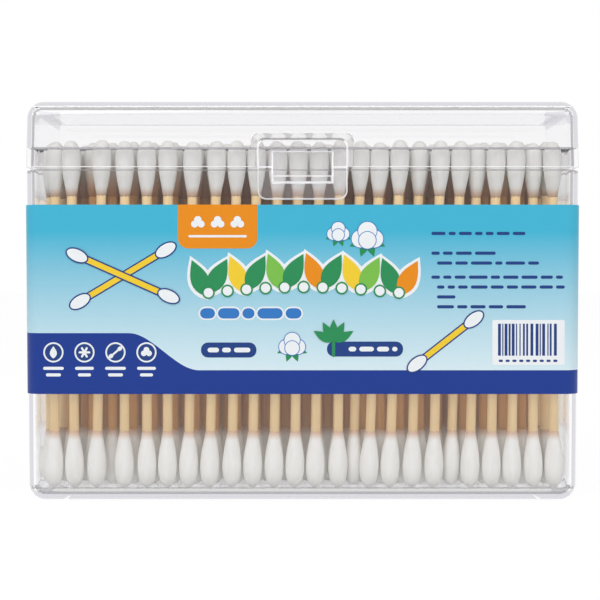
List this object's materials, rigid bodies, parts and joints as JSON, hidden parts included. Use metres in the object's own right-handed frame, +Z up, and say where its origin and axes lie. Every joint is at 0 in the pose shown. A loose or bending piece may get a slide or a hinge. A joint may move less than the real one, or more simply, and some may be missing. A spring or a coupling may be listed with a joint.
{
  "type": "cotton swab box",
  "caption": "Hinged clear plastic box with a front latch tab and a printed label band, filled with standing double-ended cotton swabs.",
  "frame": {"origin": "centre of the base, at the height of the rim that it stands on", "axes": "+X to the right seen from the front, +Y towards the hinge at the back, +Z up; the latch tab faces -Y"},
  "size_m": [0.119, 0.0446, 0.0861],
  "materials": {
    "clear_plastic": "clear, glossy, moulded",
    "printed_label": "printed film, satin",
    "bamboo": "plain bamboo",
    "cotton": "wound cotton, matte"
  },
  "bodies": {
    "box": {"back_lower_tips": "cotton", "back_sticks": "bamboo", "back_upper_tips": "cotton", "box_body": "clear_plastic", "front_lower_tips": "cotton", "front_sticks": "bamboo", "front_upper_tips": "cotton", "inner_swabs_row_1": "cotton", "inner_swabs_row_2": "cotton", "inner_swabs_row_3": "cotton", "inner_swabs_row_4": "cotton", "inner_swabs_row_5": "cotton", "inner_swabs_row_6": "cotton", "label_band": "printed_label", "left_lower_tips": "cotton", "left_sticks": "bamboo", "left_upper_tips": "cotton", "right_lower_tips": "cotton", "right_sticks": "bamboo", "right_upper_tips": "cotton"},
    "lid": {"lid": "clear_plastic"}
  },
  "joints": [
    {"name": "lid_hinge", "type": "hinge", "parent": "box", "child": "lid", "pos_m": [0, 0.02165, 0.07142], "axis": [-1, 0, 0], "range_deg": [0, 115]}
  ]
}
